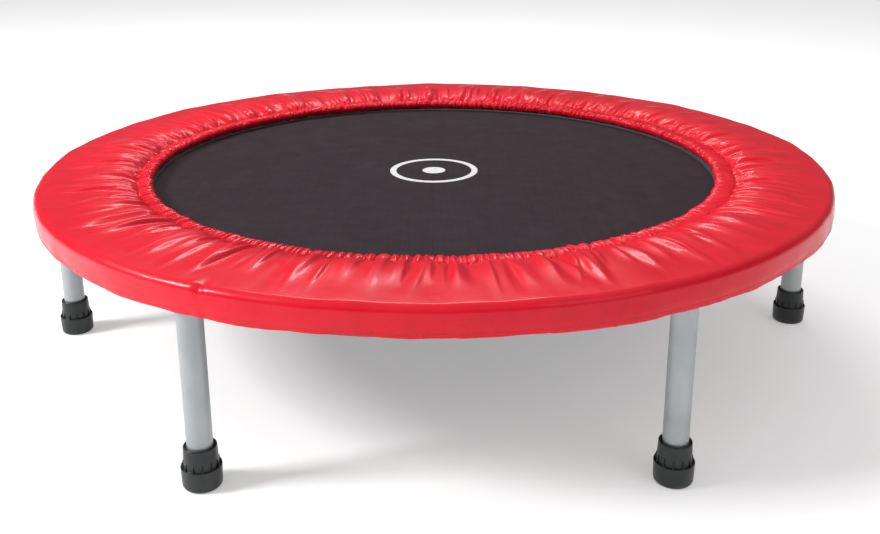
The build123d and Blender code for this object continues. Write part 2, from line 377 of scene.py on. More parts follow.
# default colours a and b: black webbing made darker still, as painted shade for the shadow under the cover's band on
# the hem and tabs
def webbing(name="webbing", a=(0.006, 0.005, 0.006), b=(0.018, 0.015, 0.017)):
    m = Mat(name)
    w = weave(m, 0.0009)
    base = m.mix(m.mapr(w, 0.0, 1.3, 0.0, 1.0), a, b)
    base = m.mix(m.mapr(m.noise(25.0, 5.0), 0.4, 0.7, 0.0, 0.3), base, tuple(min(1, x * 1.8) for x in b))
    m.link(base, m.b.inputs["Base Color"])
    m.link(m.bump(w, 0.8, 0.0004), m.b.inputs["Normal"])
    m.set(Roughness=0.78, Sheen_Weight=0.2)
    return m.m


def thread(name, colour):
    m = Mat(name)
    n = m.noise(2500.0, 2.0)
    base = m.mix(m.mapr(n, 0.3, 0.7, 0.0, 1.0), tuple(x * 0.7 for x in colour), colour)
    m.link(base, m.b.inputs["Base Color"])
    m.link(m.bump(n, 0.6, 0.0002), m.b.inputs["Normal"])
    m.set(Roughness=0.6, Sheen_Weight=0.2)
    return m.m


def paint(name, a, b, metallic=0.75):
    """Satin silver powder coat."""
    m = Mat(name)
    base = m.mix(m.mapr(m.noise(18.0, 4.0), 0.35, 0.65, 0.0, 1.0), a, b)
    fleck = m.mapr(m.noise(3200.0, 2.0), 0.42, 0.62, 0.0, 0.22)
    base = m.mix(fleck, base, (0.60, 0.62, 0.63))
    m.link(base, m.b.inputs["Base Color"])
    m.link(m.mapr(m.noise(120.0, 4.0), 0.3, 0.7, 0.34, 0.44), m.b.inputs["Roughness"])
    n1 = m.bump(m.noise(900.0, 3.0), 0.10, 0.0002)
    m.link(n1, m.b.inputs["Normal"])
    m.set(Metallic=metallic, Coat_Weight=0.12, Coat_Roughness=0.25)
    return m.m


def zinc():
    m = Mat("zinc_plate")
    base = m.mix(m.mapr(m.noise(70.0, 5.0), 0.35, 0.65, 0.0, 1.0), (0.50, 0.51, 0.50), (0.70, 0.70, 0.67))
    m.link(base, m.b.inputs["Base Color"])
    m.link(m.mapr(m.noise(260.0, 4.0), 0.3, 0.7, 0.24, 0.42), m.b.inputs["Roughness"])
    m.link(m.bump(m.noise(1500.0, 3.0), 0.12, 0.0002), m.b.inputs["Normal"])
    m.set(Metallic=1.0)
    return m.m


def rubber():
    m = Mat("foot_rubber")
    base = m.mix(m.mapr(m.noise(35.0, 5.0), 0.35, 0.7, 0.0, 1.0), (0.006, 0.0078, 0.0086), (0.016, 0.019, 0.021))
    s = m.t.nodes.new("ShaderNodeSeparateXYZ")
    m.link(m.co, s.inputs[0])
    scuff = m.math("MULTIPLY", m.mapr(s.outputs[2], 0.010, 0.001, 0.0, 1.0), m.mapr(m.noise(160.0, 6.0, 0.7), 0.45, 0.65, 0.0, 1.0))
    base = m.mix(m.math("MULTIPLY", scuff, 0.35), base, (0.10, 0.098, 0.094))
    m.link(base, m.b.inputs["Base Color"])
    m.link(m.math("ADD", m.mapr(m.noise(200.0, 4.0), 0.3, 0.7, 0.30, 0.42), m.math("MULTIPLY", scuff, 0.25)), m.b.inputs["Roughness"])
    m.link(m.bump(m.noise(1400.0, 4.0), 0.20, 0.00025), m.b.inputs["Normal"])
    m.set(Specular_IOR_Level=0.5)
    return m.m


def foam_mat():
    m = Mat("foam_cells")
    v = m.node("TexVoronoi", Scale=420.0)
    m.link(m.co, v.inputs["Vector"])
    base = m.mix(m.mapr(v.outputs["Distance"], 0.0, 0.7, 0.0, 1.0), (0.62, 0.61, 0.57), (0.84, 0.83, 0.79))
    m.link(base, m.b.inputs["Base Color"])
    m.link(m.bump(v.outputs["Distance"], 0.7, 0.0006), m.b.inputs["Normal"])
    m.set(Roughness=0.85, Subsurface_Weight=0.0)
    return m.m


def plastic():
    m = Mat("saddle_plastic")
    base = m.mix(m.mapr(m.noise(50.0, 4.0), 0.35, 0.65, 0.0, 1.0), (0.34, 0.345, 0.35), (0.44, 0.445, 0.45))
    m.link(base, m.b.inputs["Base Color"])
    m.link(m.mapr(m.noise(300.0, 3.0), 0.3, 0.7, 0.42, 0.55), m.b.inputs["Roughness"])
    m.link(m.bump(m.noise(1100.0, 3.0), 0.15, 0.0002), m.b.inputs["Normal"])
    return m.m


VINYL, BACKING, MAT_CLOTH, WEB_DARKENED_AS_SHADE = vinyl(), backing(), mat_cloth(), webbing()
ELASTIC = webbing("elastic_cord", (0.40, 0.02, 0.028), (0.62, 0.04, 0.05))
THREAD_RED, THREAD_GREY = thread("thread_red", (0.72, 0.012, 0.026)), thread("thread_grey", (0.20, 0.20, 0.205))
LEG_PAINT = paint("leg_paint", (0.33, 0.36, 0.37), (0.41, 0.44, 0.45), 0.45)
RING_PAINT = paint("ring_paint", (0.33, 0.36, 0.37), (0.41, 0.44, 0.45), 0.45)
ZINC, RUBBER, FOAM, PLASTIC = zinc(), rubber(), foam_mat(), plastic()


def dress(ob, *mats):
    ob.data.materials.clear()
    for x in mats:
        ob.data.materials.append(x)
    return ob


# ------------------------------------------------------------------ the gathered vinyl cover
N_SKIN = 2400
SEAM = (BAND_R + 0.0097, BAND_Z + 0.0012)
TOP = Z_TOP + 0.0012
top_line = [
    (SEAM[0], SEAM[1]), (SEAM[0] + 0.0020, SEAM[1] + 0.0020), (SEAM[0] + 0.0075, SEAM[1] + 0.0051), (SEAM[0] + 0.0150, TOP - 0.0018),
    (SEAM[0] + 0.0245, TOP - 0.0002), (0.410, TOP + 0.0006), (0.432, TOP + 0.0006), (0.454, TOP + 0.0001),
]
rim_r = 0.0085
rim_c = (R_OUT - rim_r, TOP - 0.0008 - rim_r)
top_line += [(rim_c[0] + rim_r * math.sin(a), rim_c[1] + rim_r * math.cos(a)) for a in np.radians([4, 18, 32, 46, 60, 74, 88])]
skirt_line = [(R_OUT + 0.0004, SKIRT_LOW + 0.0120), (R_OUT + 0.0001, SKIRT_LOW + 0.0070), (R_OUT - 0.0003, SKIRT_LOW + 0.0036)]
hem_c, hem_r = (R_OUT - 0.0027, SKIRT_LOW + 0.0026), 0.0025
hem_line = [(hem_c[0] + hem_r * math.cos(a), hem_c[1] + hem_r * math.sin(a)) for a in np.radians([-12, -45, -80, -115, -150, -185])]
hem_line += [(R_OUT - 0.0046, SKIRT_LOW + 0.0058), (R_OUT - 0.0026, SKIRT_LOW + 0.0084), (R_OUT - 0.0019, SKIRT_LOW + 0.0120)]
line, dist = catmull(top_line + skirt_line + hem_line, 900)
total = dist[-1]
# points closer together at the seam, the rim and the hem
rim_s = dist[np.argmin(np.abs(line[:, 0] - rim_c[0]) + (line[:, 1] < rim_c[1]) * 1.0)]
low_s = dist[np.argmin(line[:, 1])]
density = 1.0 + 1.8 * np.exp(-(dist / 0.016) ** 2) + 1.3 * np.exp(-(((dist - rim_s - 0.008) / 0.014) ** 2)) + 3.0 * np.exp(-(((dist - low_s) / 0.008) ** 2))
cum = np.concatenate([[0], np.cumsum((density[1:] + density[:-1]) / 2 * np.diff(dist))])
M_SKIN = 88
pick = np.interp(np.linspace(0, cum[-1], M_SKIN), cum, dist)
pr = np.stack([np.interp(pick, dist, line[:, 0]), np.interp(pick, dist, line[:, 1])], 1)
tan = np.gradient(pr, axis=0)
tan /= np.linalg.norm(tan, axis=1)[:, None]
nor = np.stack([-tan[:, 1], tan[:, 0]], 1)  # points up on the top, out on the skirt
S = pick
T = S / rim_s  # 0 at the seam, 1 where the rim begins to round
theta = np.arange(N_SKIN) / N_SKIN * TAU


def cells(seed, width, spread, amp0, amp1, lean, skew):
    """Random gathers round the whole opening: edges, how far each edge wanders, depth and lean."""
    g = np.random.default_rng(seed)
    gaps = np.exp(g.normal(math.log(width), spread, int(TAU * BAND_R / width * 1.6)))
    gaps = gaps[: np.searchsorted(np.cumsum(gaps), TAU * BAND_R)]
    e = np.concatenate([[0], np.cumsum(gaps)])
    e = e / e[-1] * TAU
    n = len(e) - 1
    wander = g.normal(0, skew, n + 1) / BAND_R
    wander[-1] = wander[0]
    wide = np.diff(e) * BAND_R
    return e, wander, np.clip(amp0 + amp1 * wide, 0, 0.0034) * g.uniform(0.6, 1.25, n), g.normal(0, lean, n)


def gathered(th, c, drift, power=0.62):
    """Height of the gathers c at the angles th, with the edges moved by drift times their own wander."""
    e, wander, amp, lean = c
    e = e + wander * drift
    ext = np.concatenate([[e[-2] - TAU], e, [e[1] + TAU]])
    k = np.clip(np.searchsorted(ext, th, side="right") - 1, 0, len(ext) - 2)
    u = np.clip((th - ext[k]) / np.maximum(ext[k + 1] - ext[k], 1e-6), 0, 1)
    cell = (k - 1) % len(amp)
    return amp[cell] * (np.sin(math.pi * u ** np.exp(lean[cell])) ** power - 0.5)


GATHERS = cells(11, 0.0058, 0.45, 0.0006, 0.34, 0.50, 0.0022)
PINCHES = cells(12, 0.0032, 0.38, 0.0003, 0.26, 0.50, 0.0018)


def folds(theta, t, r, items):
    """Sum of long leaf-shaped folds that start at the seam. Each has one steep and one soft side."""
    h = np.zeros((len(theta), len(t)))
    step = TAU / len(theta)
    for c, skew, curve, w0, fan, depth, peak, t1, steep in items:
        w = w0 * (0.75 + fan * t)
        reach = (w.max() * 3.2 + abs(skew) + abs(curve)) / 0.355
        k = int(reach / step) + 1
        i0 = int(round(c / step))
        idx = np.arange(i0 - k, i0 + k + 1)
        x = (idx * step - c)[:, None] * r[None, :] - (skew * t + curve * t * t)[None, :]
        wl, wr = (w * steep, w) if depth < 0 else (w, w * steep)
        f = np.where(x < 0, np.exp(-np.abs(x / wl[None, :]) ** 1.7), np.exp(-np.abs(x / wr[None, :]) ** 1.5))
        env = (1 - smooth01(peak, t1, t)) * (0.40 + 0.60 * smooth01(0.0, 0.14, t))
        h[idx % len(theta)] += depth * f * env[None, :]
    return h


def fold_set(n, w, length, depth, skew, steep, seed, share=0.56):
    g = np.random.default_rng(seed)
    base = (np.arange(n) + g.uniform(-0.46, 0.46, n)) / n * TAU
    out = []
    for c in base:
        ln = g.uniform(*length)
        sign = -1 if g.random() < share else 1
        out.append((c % TAU, g.normal(0, skew), g.normal(0, skew * 0.9), g.uniform(*w), g.uniform(0.3, 1.5), sign * g.uniform(*depth), ln * 0.40, ln * 1.02, g.uniform(*steep)))
    return out


r_line = pr[:, 0]
T_open = np.clip(T, 0, 1.3)
H = folds(theta, T_open, r_line, fold_set(80, (0.0060, 0.0105), (0.66, 1.00), (0.0024, 0.0046), 0.010, (0.34, 0.66), 1, 0.25))
H += folds(theta, T_open, r_line, fold_set(150, (0.0036, 0.0060), (0.58, 1.00), (0.0018, 0.0034), 0.007, (0.40, 0.80), 2, 0.35))
H += folds(theta, T_open, r_line, fold_set(180, (0.0026, 0.0040), (0.14, 0.50), (0.0008, 0.0017), 0.004, (0.65, 1.0), 3))
H += folds(theta, T_open, r_line, fold_set(90, (0.0034, 0.0056), (0.70, 1.00), (0.0004, 0.0010), 0.008, (0.7, 1.0), 6))
H += folds(theta, T_open, r_line, fold_set(240, (0.0020, 0.0028), (0.05, 0.20), (0.0005, 0.0012), 0.002, (0.85, 1.0), 4))
H = np.where(H > 0, 0.0046 * np.tanh(H / 0.0046), 0.0024 * np.tanh(H / 0.0024))
# the band's own gathers run on a little way into the cover
for j in range(M_SKIN):
    if S[j] < 0.026:
        fadeout = math.exp(-((S[j] / 0.0085) ** 1.3))
        H[:, j] += gathered(theta, GATHERS, 1.0 + 220 * S[j]) * 0.70 * fadeout + gathered(theta, PINCHES, 1.0 + 200 * S[j]) * 0.30 * fadeout**2
H *= (0.30 + 0.70 * smooth01(-0.001, 0.0040, S))[None, :]
# slow swell of the padding
g = np.random.default_rng(5)
swell = np.zeros((N_SKIN, M_SKIN))
for k in (5, 8, 13, 21, 34, 55):
    swell += np.sin(k * theta[:, None] + g.uniform(0, TAU) + g.uniform(-3, 3) * T_open[None, :]) * 0.00085 / k**0.40
H += swell * (smooth01(0.05, 0.4, T_open) * (1 - smooth01(1.02, 1.25, T)))[None, :]
# skirt: slight waves, drawn in by the hem elastic
skirt_t = smooth01(rim_s + 0.012, low_s - 0.002, S)
wave = np.zeros((N_SKIN, M_SKIN))
for k, a in ((7, 0.0007), (19, 0.0005), (43, 0.00030), (71, 0.00015)):
    wave += a * np.sin(k * theta[:, None] + g.uniform(0, TAU) + g.uniform(-1, 1) * skirt_t[None, :])
ruffle = folds(theta, 1 - np.clip((low_s - S) / 0.016, 0, 1), r_line, [
    (c % TAU, 0, 0, g.uniform(0.0030, 0.0065), 0.0, g.choice([-1, 1]) * g.uniform(0.0001, 0.0004), 5, 6, 1.0)
    for c in (np.arange(120) + g.uniform(-0.4, 0.4, 120)) / 120 * TAU])
fade = np.where(S <= low_s, smooth01(low_s - 0.016, low_s - 0.003, S), 1 - smooth01(low_s + 0.004, low_s + 0.012, S))
H += wave * np.where(S <= low_s, skirt_t, 1 - smooth01(low_s + 0.003, low_s + 0.010, S))[None, :] + ruffle * fade[None, :]
# the join in the vinyl strip shows as a small kink in the rim over the front left leg
jx, jy = leg_axis("front_left")
join_at = (math.atan2(jy, jx) + math.radians(3.3)) % TAU
xj = ((theta - join_at + math.pi) % TAU - math.pi)[:, None] * 0.475
kink = -0.0012 * np.exp(-((xj / 0.0045) ** 2)) + 0.0009 * np.exp(-(((xj + 0.0095) / 0.0060) ** 2))
H += kink * (np.exp(-(((S - rim_s - 0.006) / 0.009) ** 2)) - 0.5 * np.exp(-(((S - low_s + 0.003) / 0.007) ** 2)))[None, :]

# the opening sits a few millimetres off the middle, as a pulled-on cover does
OFF = np.array([0.0025, 0.0])
lump_r = sum(a * np.sin(k * theta + f) for k, a, f in ((9, 0.0005, 0.4), (17, 0.0005, 2.0), (31, 0.0006, 4.4), (53, 0.0005, 1.1)))
lump_z = sum(a * np.sin(k * theta + f) for k, a, f in ((12, 0.0003, 1.4), (23, 0.0004, 3.0), (47, 0.00035, 0.4)))
near = (1 - smooth01(0.0, 0.45, T_open))[None, :]
R = pr[None, :, 0] + nor[None, :, 0] * H + lump_r[:, None] * near
Z = pr[None, :, 1] + nor[None, :, 1] * H + lump_z[:, None] * near
away = (1 - smooth01(0.0, 0.95, T_open))[None, :]
skin_v = np.stack([np.cos(theta)[:, None] * R + OFF[0] * away, np.sin(theta)[:, None] * R + OFF[1] * away, Z], -1)

# the panel is let settle as cloth over its foam: a coarser copy held at the seam and the rim, with a
# little extra length and a little air under it, and its movement is added to the finished surface
CLOTH_N, FRAMES, CAP = 600, 14, 0.0022
j_end = int(np.searchsorted(S, rim_s))
j_idx = np.unique(np.append(np.arange(0, j_end, 2), j_end))
rest = skin_v[:: N_SKIN // CLOTH_N][:, j_idx]
m_c = len(j_idx)
cloth = make("settling_panel", rest, grid_faces(CLOTH_N, m_c, True, False, flip=True))
pin = cloth.vertex_groups.new(name="held")
pin.add([i * m_c + k for i in range(CLOTH_N) for k in (0, m_c - 1)], 1.0, "REPLACE")
cm = cloth.modifiers.new("settle", "CLOTH")
cs = cm.settings
cs.quality, cs.mass = 6, 0.30
cs.tension_stiffness, cs.compression_stiffness, cs.shear_stiffness, cs.bending_stiffness = 15, 15, 5, 0.3
cs.vertex_group_mass = "held"
cs.shrink_min = -0.012
cs.use_pressure, cs.uniform_pressure_force = True, 1.2
cs.effector_weights.gravity = 0.0
cm.collision_settings.use_collision = False
cm.point_cache.frame_start, cm.point_cache.frame_end = 1, FRAMES
at_frame = bpy.context.scene.frame_current
for fr in range(1, FRAMES + 1):
    bpy.context.scene.frame_set(fr)
got = cloth.evaluated_get(bpy.context.evaluated_depsgraph_get()).to_mesh()
xyz_c = np.empty(len(got.vertices) * 3)
got.vertices.foreach_get("co", xyz_c)
move = xyz_c.reshape(CLOTH_N, m_c, 3) - rest
bpy.data.objects.remove(cloth)
bpy.context.scene.frame_set(at_frame)
print("panel settled: mean %.2f mm, largest %.2f mm" % (1000 * np.abs(move).mean(), 1000 * np.abs(move).max()))
move = CAP * np.tanh(move / CAP)
move[..., 2] = np.maximum(move[..., 2], -0.0002)
# stretched smooth again towards the rim
move *= (1 - 0.88 * smooth01(0.30, 0.86, T[j_idx]))[None, :, None]
spec = np.fft.rfft(move, axis=0)
full = np.zeros((N_SKIN // 2 + 1,) + spec.shape[1:], complex)
full[: len(spec)] = spec
full[len(spec) - 1] *= 0.5
fine = np.fft.irfft(full, n=N_SKIN, axis=0) * (N_SKIN / CLOTH_N)
for axis in range(3):
    for j in range(j_end):
        k = int(np.searchsorted(j_idx, j, side="right")) - 1
        f = (j - j_idx[k]) / (j_idx[k + 1] - j_idx[k])
        skin_v[:, j, axis] += fine[:, k, axis] * (1 - f) + fine[:, k + 1, axis] * f
skin = make("cover_skin", skin_v, grid_faces(N_SKIN, M_SKIN, True, False, flip=True))
dress(skin, VINYL, BACKING)
sol = skin.modifiers.new("thick", "SOLIDIFY")
sol.thickness, sol.offset, sol.material_offset, sol.material_offset_rim = 0.0008, -1, 1, 0
settle(skin)


def skin_point(a, s):
    """Point of the cover's outside at angle a and distance s along its section."""
    i = (a % TAU) / TAU * N_SKIN
    i0 = int(i) % N_SKIN
    f = i - int(i)
    j = np.interp(s, S, np.arange(M_SKIN))
    j0 = min(int(j), M_SKIN - 2)
    h = j - j0
    q = skin_v
    return ((q[i0, j0] * (1 - f) + q[(i0 + 1) % N_SKIN, j0] * f) * (1 - h) + (q[i0, j0 + 1] * (1 - f) + q[(i0 + 1) % N_SKIN, j0 + 1] * f) * h)


# ------------------------------------------------------------------ the ruffled band round the opening
N_BAND, M_BAND = 4200, 34
section = np.array([(-8.6, 0), (-7.7, 2.8), (-4.8, 4.5), (-1, 4.7), (3, 4.1), (6.5, 3.2), (8.9, 2.3), (9.8, 0.9), (9.2, -0.9), (6.5, -2.6), (3, -4.6), (-0.5, -6.0), (-3.8, -6.0), (-7.2, -3.6)]) * 0.001
ring3 = np.vstack([section, section, section, section[:1]])
dense, dd = catmull(ring3, 1801)
third = dd[-1] / 3
want = third + np.arange(M_BAND) / M_BAND * third
prof = np.stack([np.interp(want, dd, dense[:, k]) for k in range(2)], 1)
tg = np.roll(prof, -1, 0) - np.roll(prof, 1, 0)
tg /= np.linalg.norm(tg, axis=1)[:, None]
out2 = np.stack([-tg[:, 1], tg[:, 0]], 1)  # the section runs clockwise, so this points out
th = np.arange(N_BAND) / N_BAND * TAU
BR, BZ = np.zeros((N_BAND, M_BAND)), np.zeros((N_BAND, M_BAND))
for j in range(M_BAND):
    x, z = prof[j]
    u = (x + 0.0086) / 0.0184  # 0 at the opening, 1 at the seam
    drift = (u - 0.5) * 2.2 * (1 if z >= 0 else -0.6) + (0.8 * math.sin(u * 5) if z >= 0 else 0.3)
    big = gathered(th, GATHERS, drift) * (0.85 + 0.35 * u)
    small = gathered(th, PINCHES, drift * 1.6 + 0.7) * (0.35 + 0.75 * abs(u - 0.35) ** 0.8)
    d = (big + small) * (1.0 if z >= -0.001 else 0.38)
    BR[:, j] = BAND_R + x + out2[j, 0] * d
    BZ[:, j] = BAND_Z + z + out2[j, 1] * d
lr, lz = np.interp(th, theta, lump_r, period=TAU), np.interp(th, theta, lump_z, period=TAU)
BR += lr[:, None]
BZ += lz[:, None] * 0.6
# the elastic holds the inner edge in the middle, only the seam side is off centre
held = 1 - smooth01(-0.0086, 0.0040, prof[:, 0])[None, :]
BR -= held * (OFF[0] * np.cos(th) + 0.5 * lr)[:, None] + 0.0005 * held
band_v = np.stack([np.cos(th)[:, None] * BR + OFF[0], np.sin(th)[:, None] * BR + OFF[1], BZ], -1)
band = make("cover_casing", band_v, grid_faces(N_BAND, M_BAND, True, True, flip=True))
dress(band, VINYL)

# stitches that close the band's casing, pulled into the fold beside it
STITCH_S = 0.0024


def stitch(a, b, up, radius=0.00035):
    a, b, up = (np.asarray(x, float) for x in (a, b, up))
    mid = (a + b) / 2 + up * radius * 0.9
    path = np.array([a - up * radius * 0.8, a * 0.75 + b * 0.25 + up * radius * 0.6, mid, a * 0.25 + b * 0.75 + up * radius * 0.6, b - up * radius * 0.8])
    return tube(path, radius, 6)


items = []
n_st = 560
for k in range(n_st):
    a0 = k / n_st * TAU
    a1 = a0 + 0.66 / n_st * TAU
    p0, p1 = skin_point(a0, STITCH_S), skin_point(a1, STITCH_S)
    radial = np.array([math.cos(a0), math.sin(a0), 0])
    items.append(stitch(p0, p1, radial * -0.35 + np.array([0, 0, 0.93]), 0.00032))
band_stitch = dress(joined("band_stitches", items), THREAD_RED)

# one row of stitches above the skirt's hem
items = []
n_st = 700
for k in range(n_st):
    a0 = k / n_st * TAU
    a1 = a0 + 0.62 / n_st * TAU
    p0, p1 = skin_point(a0, low_s - 0.0064), skin_point(a1, low_s - 0.0064)
    items.append(stitch(p0, p1, np.array([math.cos(a0), math.sin(a0), 0]), 0.00023))
hem_stitch = dress(joined("skirt_stitches", items), THREAD_RED)

for ob in (skin, band, band_stitch, hem_stitch):
    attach(ob, "frame")
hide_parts(PANEL, SKIRT)
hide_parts(BAND)

# ------------------------------------------------------------------ foam under the vinyl, in four lengths butted together
f0, f1 = SEAM[0] + 0.0225, foam_hi.x - 0.0002
zf0, zf1 = foam_lo.z + 0.0002, foam_hi.z - 0.0016
n_f = 720
prof = []
for cx_, cz_, a0 in ((f1 - 0.0018, zf0 + 0.0018, -90), (f1 - 0.0018, zf1 - 0.0018, 0), (f0 + 0.0018, zf1 - 0.0018, 90), (f0 + 0.0018, zf0 + 0.0018, 180)):
    for a in np.radians(np.linspace(a0, a0 + 90, 6)):
        prof.append((cx_ + 0.0018 * math.cos(a), cz_ + 0.0018 * math.sin(a)))
    if a0 in (0, 180):
        x0, x1 = (f1 - 0.0018, f0 + 0.0018) if a0 == 0 else (f0 + 0.0018, f1 - 0.0018)
        zz = zf1 if a0 == 0 else zf0
        for x in np.linspace(x0, x1, 14)[1:-1]:
            prof.append((x, zz))
prof = np.array(prof)
# drop doubled points
keep = [k for k in range(len(prof)) if np.linalg.norm(prof[k] - prof[k - 1]) > 1e-6]
prof = prof[keep]
aa = np.arange(n_f) / n_f * TAU
groove = np.zeros(n_f)
for c in np.radians([17, 107, 197, 287]):
    groove += np.exp(-((((aa - c + math.pi) % TAU - math.pi) / 0.006) ** 2))
g = np.random.default_rng(21)
lumps = sum(a * np.sin(k * aa + g.uniform(0, TAU)) for k, a in ((9, 0.0002), (31, 0.00015), (77, 0.0001)))
FR = np.broadcast_to(prof[None, :, 0], (n_f, len(prof)))
mid_z = (zf0 + zf1) / 2
FZ = mid_z + (prof[None, :, 1] - mid_z) * (1 - 0.30 * groove[:, None]) + np.where(prof[None, :, 1] < mid_z, lumps[:, None], 0)
foam = make("cover_foam", np.stack([np.cos(aa)[:, None] * FR, np.sin(aa)[:, None] * FR, FZ], -1), grid_faces(n_f, len(prof), True, True))
dress(foam, FOAM)
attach(foam, "frame")
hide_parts("foam_ring")

# ------------------------------------------------------------------ jumping mat
n_a, n_r = 288, 46
rr = np.concatenate([np.linspace(0.006, 0.30, 26), np.linspace(0.306, R_MAT, n_r - 26)])
aa = np.arange(n_a) / n_a * TAU
half = (mat_hi.z - mat_lo.z) / 2
pull = 0.00045 * np.cos(N_SPRINGS * aa - math.radians(180))[:, None] * smooth01(0.30, R_MAT - 0.002, rr)[None, :]
sag = -0.0012 * (1 - (rr / R_MAT) ** 2)[None, :] + pull * 0.4
top = np.stack([np.cos(aa)[:, None] * rr, np.sin(aa)[:, None] * rr, Z_MAT + half + sag], -1)
bot = top.copy()
bot[..., 2] -= 2 * half
nv = n_a * n_r
v = np.concatenate([top.reshape(-1, 3), bot.reshape(-1, 3), [[0, 0, Z_MAT + half - 0.0012], [0, 0, Z_MAT - half - 0.0012]]])
f = [*grid_faces(n_a, n_r, True, False).tolist(), *grid_faces(n_a, n_r, True, False, flip=True, offset=nv).tolist()]
for i in range(n_a):
    k = (i + 1) % n_a
    f.append([i * n_r + n_r - 1, nv + i * n_r + n_r - 1, nv + k * n_r + n_r - 1, k * n_r + n_r - 1][::-1])
    f.append([i * n_r, k * n_r, 2 * nv][::-1])
    f.append([nv + i * n_r, nv + k * n_r, 2 * nv + 1])
mat = dress(make("mat_sheet", v, f), MAT_CLOTH)

# hem: a folded webbing round the edge, with rounded corners; its near-black colour also paints in the shade under the
# band
h0, h1 = hem_hi.x - 0.0175, hem_hi.x
hz0, hz1 = hem_lo.z, hem_hi.z
prof = []
rc = 0.0011
for cx_, cz_, a0 in ((h1 - rc, hz0 + rc, -90), (h1 - rc, hz1 - rc, 0), (h0 + rc, hz1 - rc, 90), (h0 + rc, hz0 + rc, 180)):
    for a in np.radians(np.linspace(a0, a0 + 90, 5)):
        prof.append((cx_ + rc * math.cos(a), cz_ + rc * math.sin(a)))
    if a0 in (0, 180):
        x0, x1 = (h1 - rc, h0 + rc) if a0 == 0 else (h0 + rc, h1 - rc)
        for x in np.linspace(x0, x1, 8)[1:-1]:
            prof.append((x, hz1 if a0 == 0 else hz0))
prof = np.array(prof)
n_h = 720
aa = np.arange(n_h) / n_h * TAU
ripple = 0.00012 * np.sin(aa * 240)[:, None]
groove_r = [h0 + 0.0030, h1 - 0.0032]
dent = sum(0.00035 * np.exp(-(((prof[:, 0] - gr) / 0.0011) ** 2)) for gr in groove_r)
mid_z = (hz0 + hz1) / 2
side = np.sign(prof[:, 1] - mid_z)
HZ = prof[None, :, 1] - side[None, :] * (dent[None, :] * (0.8 + 0.2 * np.sin(aa * 240))[:, None]) + ripple * 0.5
HR = prof[None, :, 0] + 0 * aa[:, None]
hem = dress(make("mat_edge_band", np.stack([np.cos(aa)[:, None] * HR, np.sin(aa)[:, None] * HR, HZ], -1), grid_faces(n_h, len(prof), True, True)), WEB_DARKENED_AS_SHADE)

items = []
for r_s, z_s, up, n_st in ((groove_r[0], hz0 + 0.0003, -1, 470), (groove_r[1], hz0 + 0.0003, -1, 480), (groove_r[0], hz1 - 0.0003, 1, 470)):
    for k in range(n_st):
        a0, a1 = k / n_st * TAU, (k + 0.64) / n_st * TAU
        items.append(stitch((r_s * math.cos(a0), r_s * math.sin(a0), z_s), (r_s * math.cos(a1), r_s * math.sin(a1), z_s), (0, 0, up), 0.00036))
mat_stitch = dress(joined("mat_stitches", items), THREAD_GREY)

# webbing tabs, each folded over a V-ring's base and sewn to the hem
tab_in, tab_o, tab_i, v_base = hem_hi.x - 0.0115, 0.0030, 0.00175, hem_hi.x + 0.0025
mid_t, tt = (tab_o + tab_i) / 2, (tab_o - tab_i) / 2
path = [(tab_in, -mid_t)] + [(x, -mid_t) for x in np.linspace(tab_in, v_base, 6)[1:]]
path += [(v_base + mid_t * math.sin(a), -mid_t * math.cos(a)) for a in np.radians([22, 45, 68, 90, 112, 135, 158])]
path += [(x, mid_t) for x in np.linspace(v_base, tab_in, 6)]
path = np.array(path)
tg = np.gradient(path, axis=0)
tg /= np.linalg.norm(tg, axis=1)[:, None]
nn = np.stack([-tg[:, 1], tg[:, 0]], 1)
wid = 0.0120
sec = []
for yv, tv in ((-0.5, -0.55), (-0.5, 0.55), (-0.46, 1.0), (-0.2, 1.0), (0.2, 1.0), (0.46, 1.0), (0.5, 0.55), (0.5, -0.55), (0.46, -1.0), (0.2, -1.0), (-0.2, -1.0), (-0.46, -1.0)):
    sec.append((yv * wid, tv * tt))
sec = np.array(sec)
tv_ = np.zeros((len(path), len(sec), 3))
tv_[..., 0] = path[:, None, 0] + nn[:, None, 0] * sec[None, :, 1]
tv_[..., 1] = sec[None, :, 0]
tv_[..., 2] = Z_MAT + path[:, None, 1] + nn[:, None, 1] * sec[None, :, 1]
tf = grid_faces(len(path), len(sec), False, True)
caps = []
for base in (0, (len(path) - 1) * len(sec)):
    idx = [base + k for k in range(len(sec))]
    for k in range(1, len(sec) - 2, 2):
        q = [idx[0], idx[k], idx[k + 1], idx[k + 2]] if base == 0 else [idx[k + 2], idx[k + 1], idx[k], idx[0]]
        caps.append(q)
    last = [idx[0], idx[len(sec) - 1]]
tf = np.concatenate([tf, np.array(caps)])
items, st_items = [], []
for k in range(N_SPRINGS):
    a = math.radians(5 + 10 * k)
    items.append((turned(tv_.reshape(-1, 3), a), tf))
    z_s = Z_MAT - tab_o - 0.0001
    for x in (tab_in + 0.0022, tab_in + 0.0090):
        for m_ in range(3):
            y0 = -0.0048 + m_ * 0.0034
            v_, f_ = stitch((x, y0, z_s), (x, y0 + 0.0026, z_s), (0, 0, -1), 0.00034)
            st_items.append((turned(v_, a), f_))
    for y0 in (-0.0048, 0.0048):
        for m_ in range(2):
            x0 = tab_in + 0.0026 + m_ * 0.0033
            v_, f_ = stitch((x0, y0, z_s), (x0 + 0.0026, y0, z_s), (0, 0, -1), 0.00034)
            st_items.append((turned(v_, a), f_))
tabs = dress(joined("ring_tab_webbing", items), WEB_DARKENED_AS_SHADE)
tab_stitch = dress(joined("tab_stitches", st_items), THREAD_GREY)

for ob, sl in ((mat, "mat_fabric"), (hem, "hem_webbing"), (mat_stitch, "hem_webbing"), (tabs, "hem_webbing"), (tab_stitch, "hem_webbing")):
    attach(ob, "mat")
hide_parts("jumping_mat")
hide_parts("mat_hem")
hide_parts("ring_tabs")

